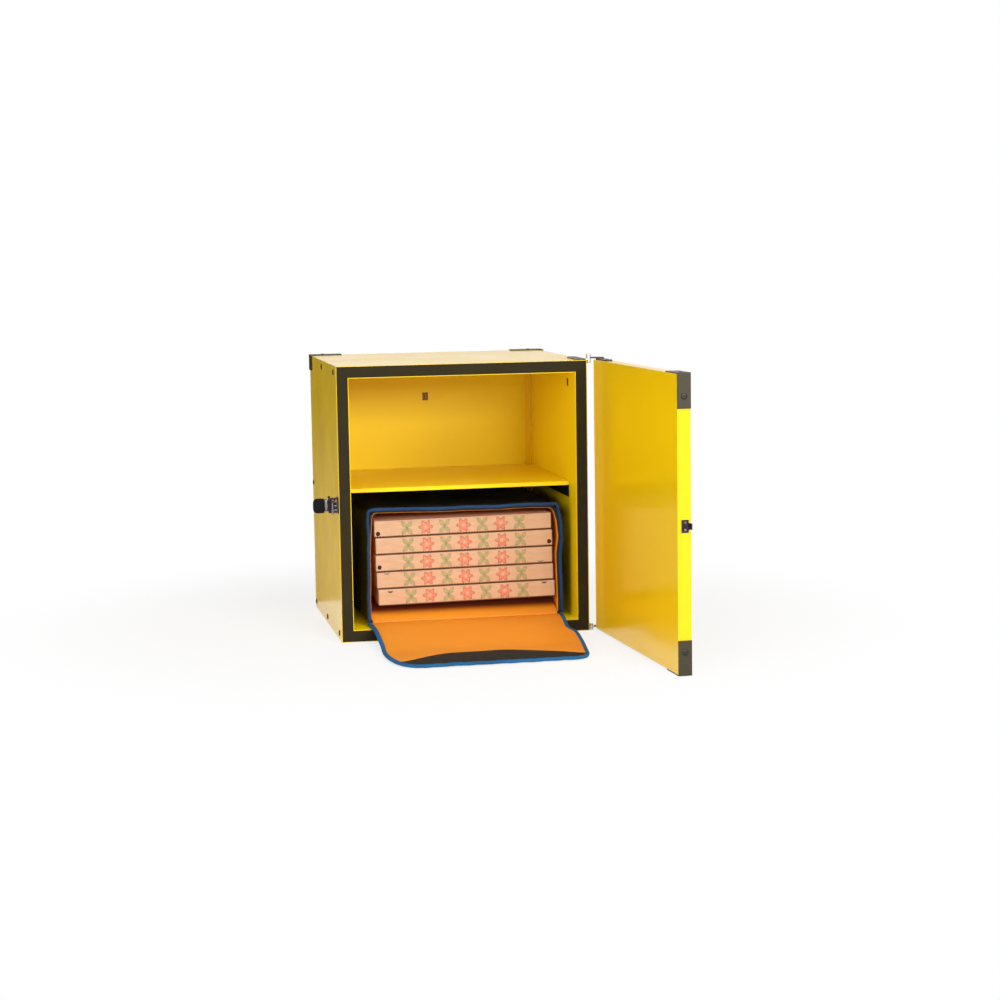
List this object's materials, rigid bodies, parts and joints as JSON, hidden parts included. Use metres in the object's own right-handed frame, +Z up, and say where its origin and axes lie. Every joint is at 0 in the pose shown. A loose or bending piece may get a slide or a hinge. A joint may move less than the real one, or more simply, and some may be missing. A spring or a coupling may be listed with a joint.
{
  "type": "insulated delivery box",
  "caption": "Yellow insulated delivery box with a side-hung door standing open, an inner shelf, and a soft bag of flat cartons with its flap folded down.",
  "frame": {"origin": "middle of the case's underside, on the surface that it stands on", "axes": "+Z up, -Y out of the case's open front, +X to the hinge side as seen from the front"},
  "size_m": [0.5685, 0.8752, 0.5115],
  "materials": {
    "yellow_paint": "satin",
    "foam": "matte",
    "seal_rubber": "matte",
    "guard_steel": "satin",
    "black_steel": "satin",
    "dark_steel": "gloss",
    "plated_steel": "satin",
    "grip_rubber": "matte",
    "vent_plastic": "matte",
    "bag_cloth": "matte",
    "lining_cloth": "satin",
    "blue_binding": "matte",
    "closure_tape": "matte",
    "carton_board": "matte"
  },
  "bodies": {
    "case": {"skin_left": "yellow_paint", "skin_right": "yellow_paint", "skin_top": "yellow_paint", "skin_bottom": "yellow_paint", "skin_back": "yellow_paint", "foam_left": "foam", "foam_right": "foam", "foam_top": "foam", "foam_bottom": "foam", "foam_back": "foam", "liner_left": "yellow_paint", "liner_right": "yellow_paint", "liner_top": "yellow_paint", "liner_floor": "yellow_paint", "liner_back": "yellow_paint", "vents": "vent_plastic", "seal_left": "seal_rubber", "seal_right": "seal_rubber", "seal_top": "seal_rubber", "seal_bottom": "seal_rubber", "corner_bead_left": "yellow_paint", "corner_bead_right": "yellow_paint", "shelf_runners": "black_steel", "case_guard_left": "guard_steel", "case_guard_right": "guard_steel", "case_hinge_top": "black_steel", "case_hinge_bottom": "black_steel", "hinge_pins": "plated_steel", "panel_rivets": "black_steel", "case_screws": "black_steel", "latch_base": "plated_steel", "latch_pin": "plated_steel", "latch_rivets": "plated_steel"},
    "door": {"door_inner_pan": "yellow_paint", "door_outer_pan": "yellow_paint", "door_core": "foam", "door_guard_top": "guard_steel", "door_guard_bottom": "guard_steel", "door_hinge_top": "black_steel", "door_hinge_bottom": "black_steel", "keeper": "dark_steel", "door_screws": "black_steel"},
    "shelf": {"shelf_tray": "yellow_paint"},
    "lever": {"latch_lever": "dark_steel", "latch_grip": "grip_rubber"},
    "bail": {"latch_bail": "plated_steel"},
    "bag": {"bag_shell": "bag_cloth", "bag_lining": "lining_cloth", "bag_base_pad": "lining_cloth", "bag_binding": "blue_binding"},
    "flap": {"flap_panel": "bag_cloth", "flap_lining": "lining_cloth", "flap_closure": "closure_tape", "flap_binding": "blue_binding"},
    "carton_1_body": {"carton_1": "carton_board"},
    "carton_2_body": {"carton_2": "carton_board"},
    "carton_3_body": {"carton_3": "carton_board"},
    "carton_4_body": {"carton_4": "carton_board"},
    "carton_5_body": {"carton_5": "carton_board"}
  },
  "joints": [
    {"name": "door_hinge", "type": "hinge", "parent": "case", "child": "door", "pos_m": [0.235, -0.197, 0.25], "axis": [0, 0, 1], "range_deg": [-93.2, 1.8], "deforming": ["flap_panel", "flap_lining", "flap_closure", "flap_binding"]},
    {"name": "shelf_slide", "type": "slide", "parent": "case", "child": "shelf", "axis": [0, -1, 0], "range_m": [0, 0.3]},
    {"name": "latch_throw", "type": "hinge", "parent": "case", "child": "lever", "pos_m": [-0.2365, -0.196, 0.25], "axis": [0, 0, 1], "range_deg": [-90, 0]},
    {"name": "bail_swing", "type": "hinge", "parent": "lever", "child": "bail", "pos_m": [-0.2425, -0.2035, 0.25], "axis": [0, 0, 1], "range_deg": [0, 105.2]},
    {"name": "bag_slide", "type": "slide", "parent": "case", "child": "bag", "axis": [0, -1, 0], "range_m": [0, 0.36]},
    {"name": "flap_fold", "type": "hinge", "parent": "bag", "child": "flap", "pos_m": [0.0045, -0.1728, 0.0286], "axis": [1, 0, 0], "range_deg": [-90, 0]},
    {"name": "carton_1_slide", "type": "slide", "parent": "bag", "child": "carton_1_body", "axis": [0, -1, 0], "range_m": [0, 0.345]},
    {"name": "carton_2_slide", "type": "slide", "parent": "bag", "child": "carton_2_body", "axis": [0, -1, 0], "range_m": [0, 0.345]},
    {"name": "carton_3_slide", "type": "slide", "parent": "bag", "child": "carton_3_body", "axis": [0, -1, 0], "range_m": [0, 0.345]},
    {"name": "carton_4_slide", "type": "slide", "parent": "bag", "child": "carton_4_body", "axis": [0, -1, 0], "range_m": [0, 0.345]},
    {"name": "carton_5_slide", "type": "slide", "parent": "bag", "child": "carton_5_body", "axis": [0, -1, 0], "range_m": [0, 0.345]}
  ],
  "couplings": [
    {"joint": "bail_swing", "follows": "latch_throw", "ratio": -1.1683}
  ]
}
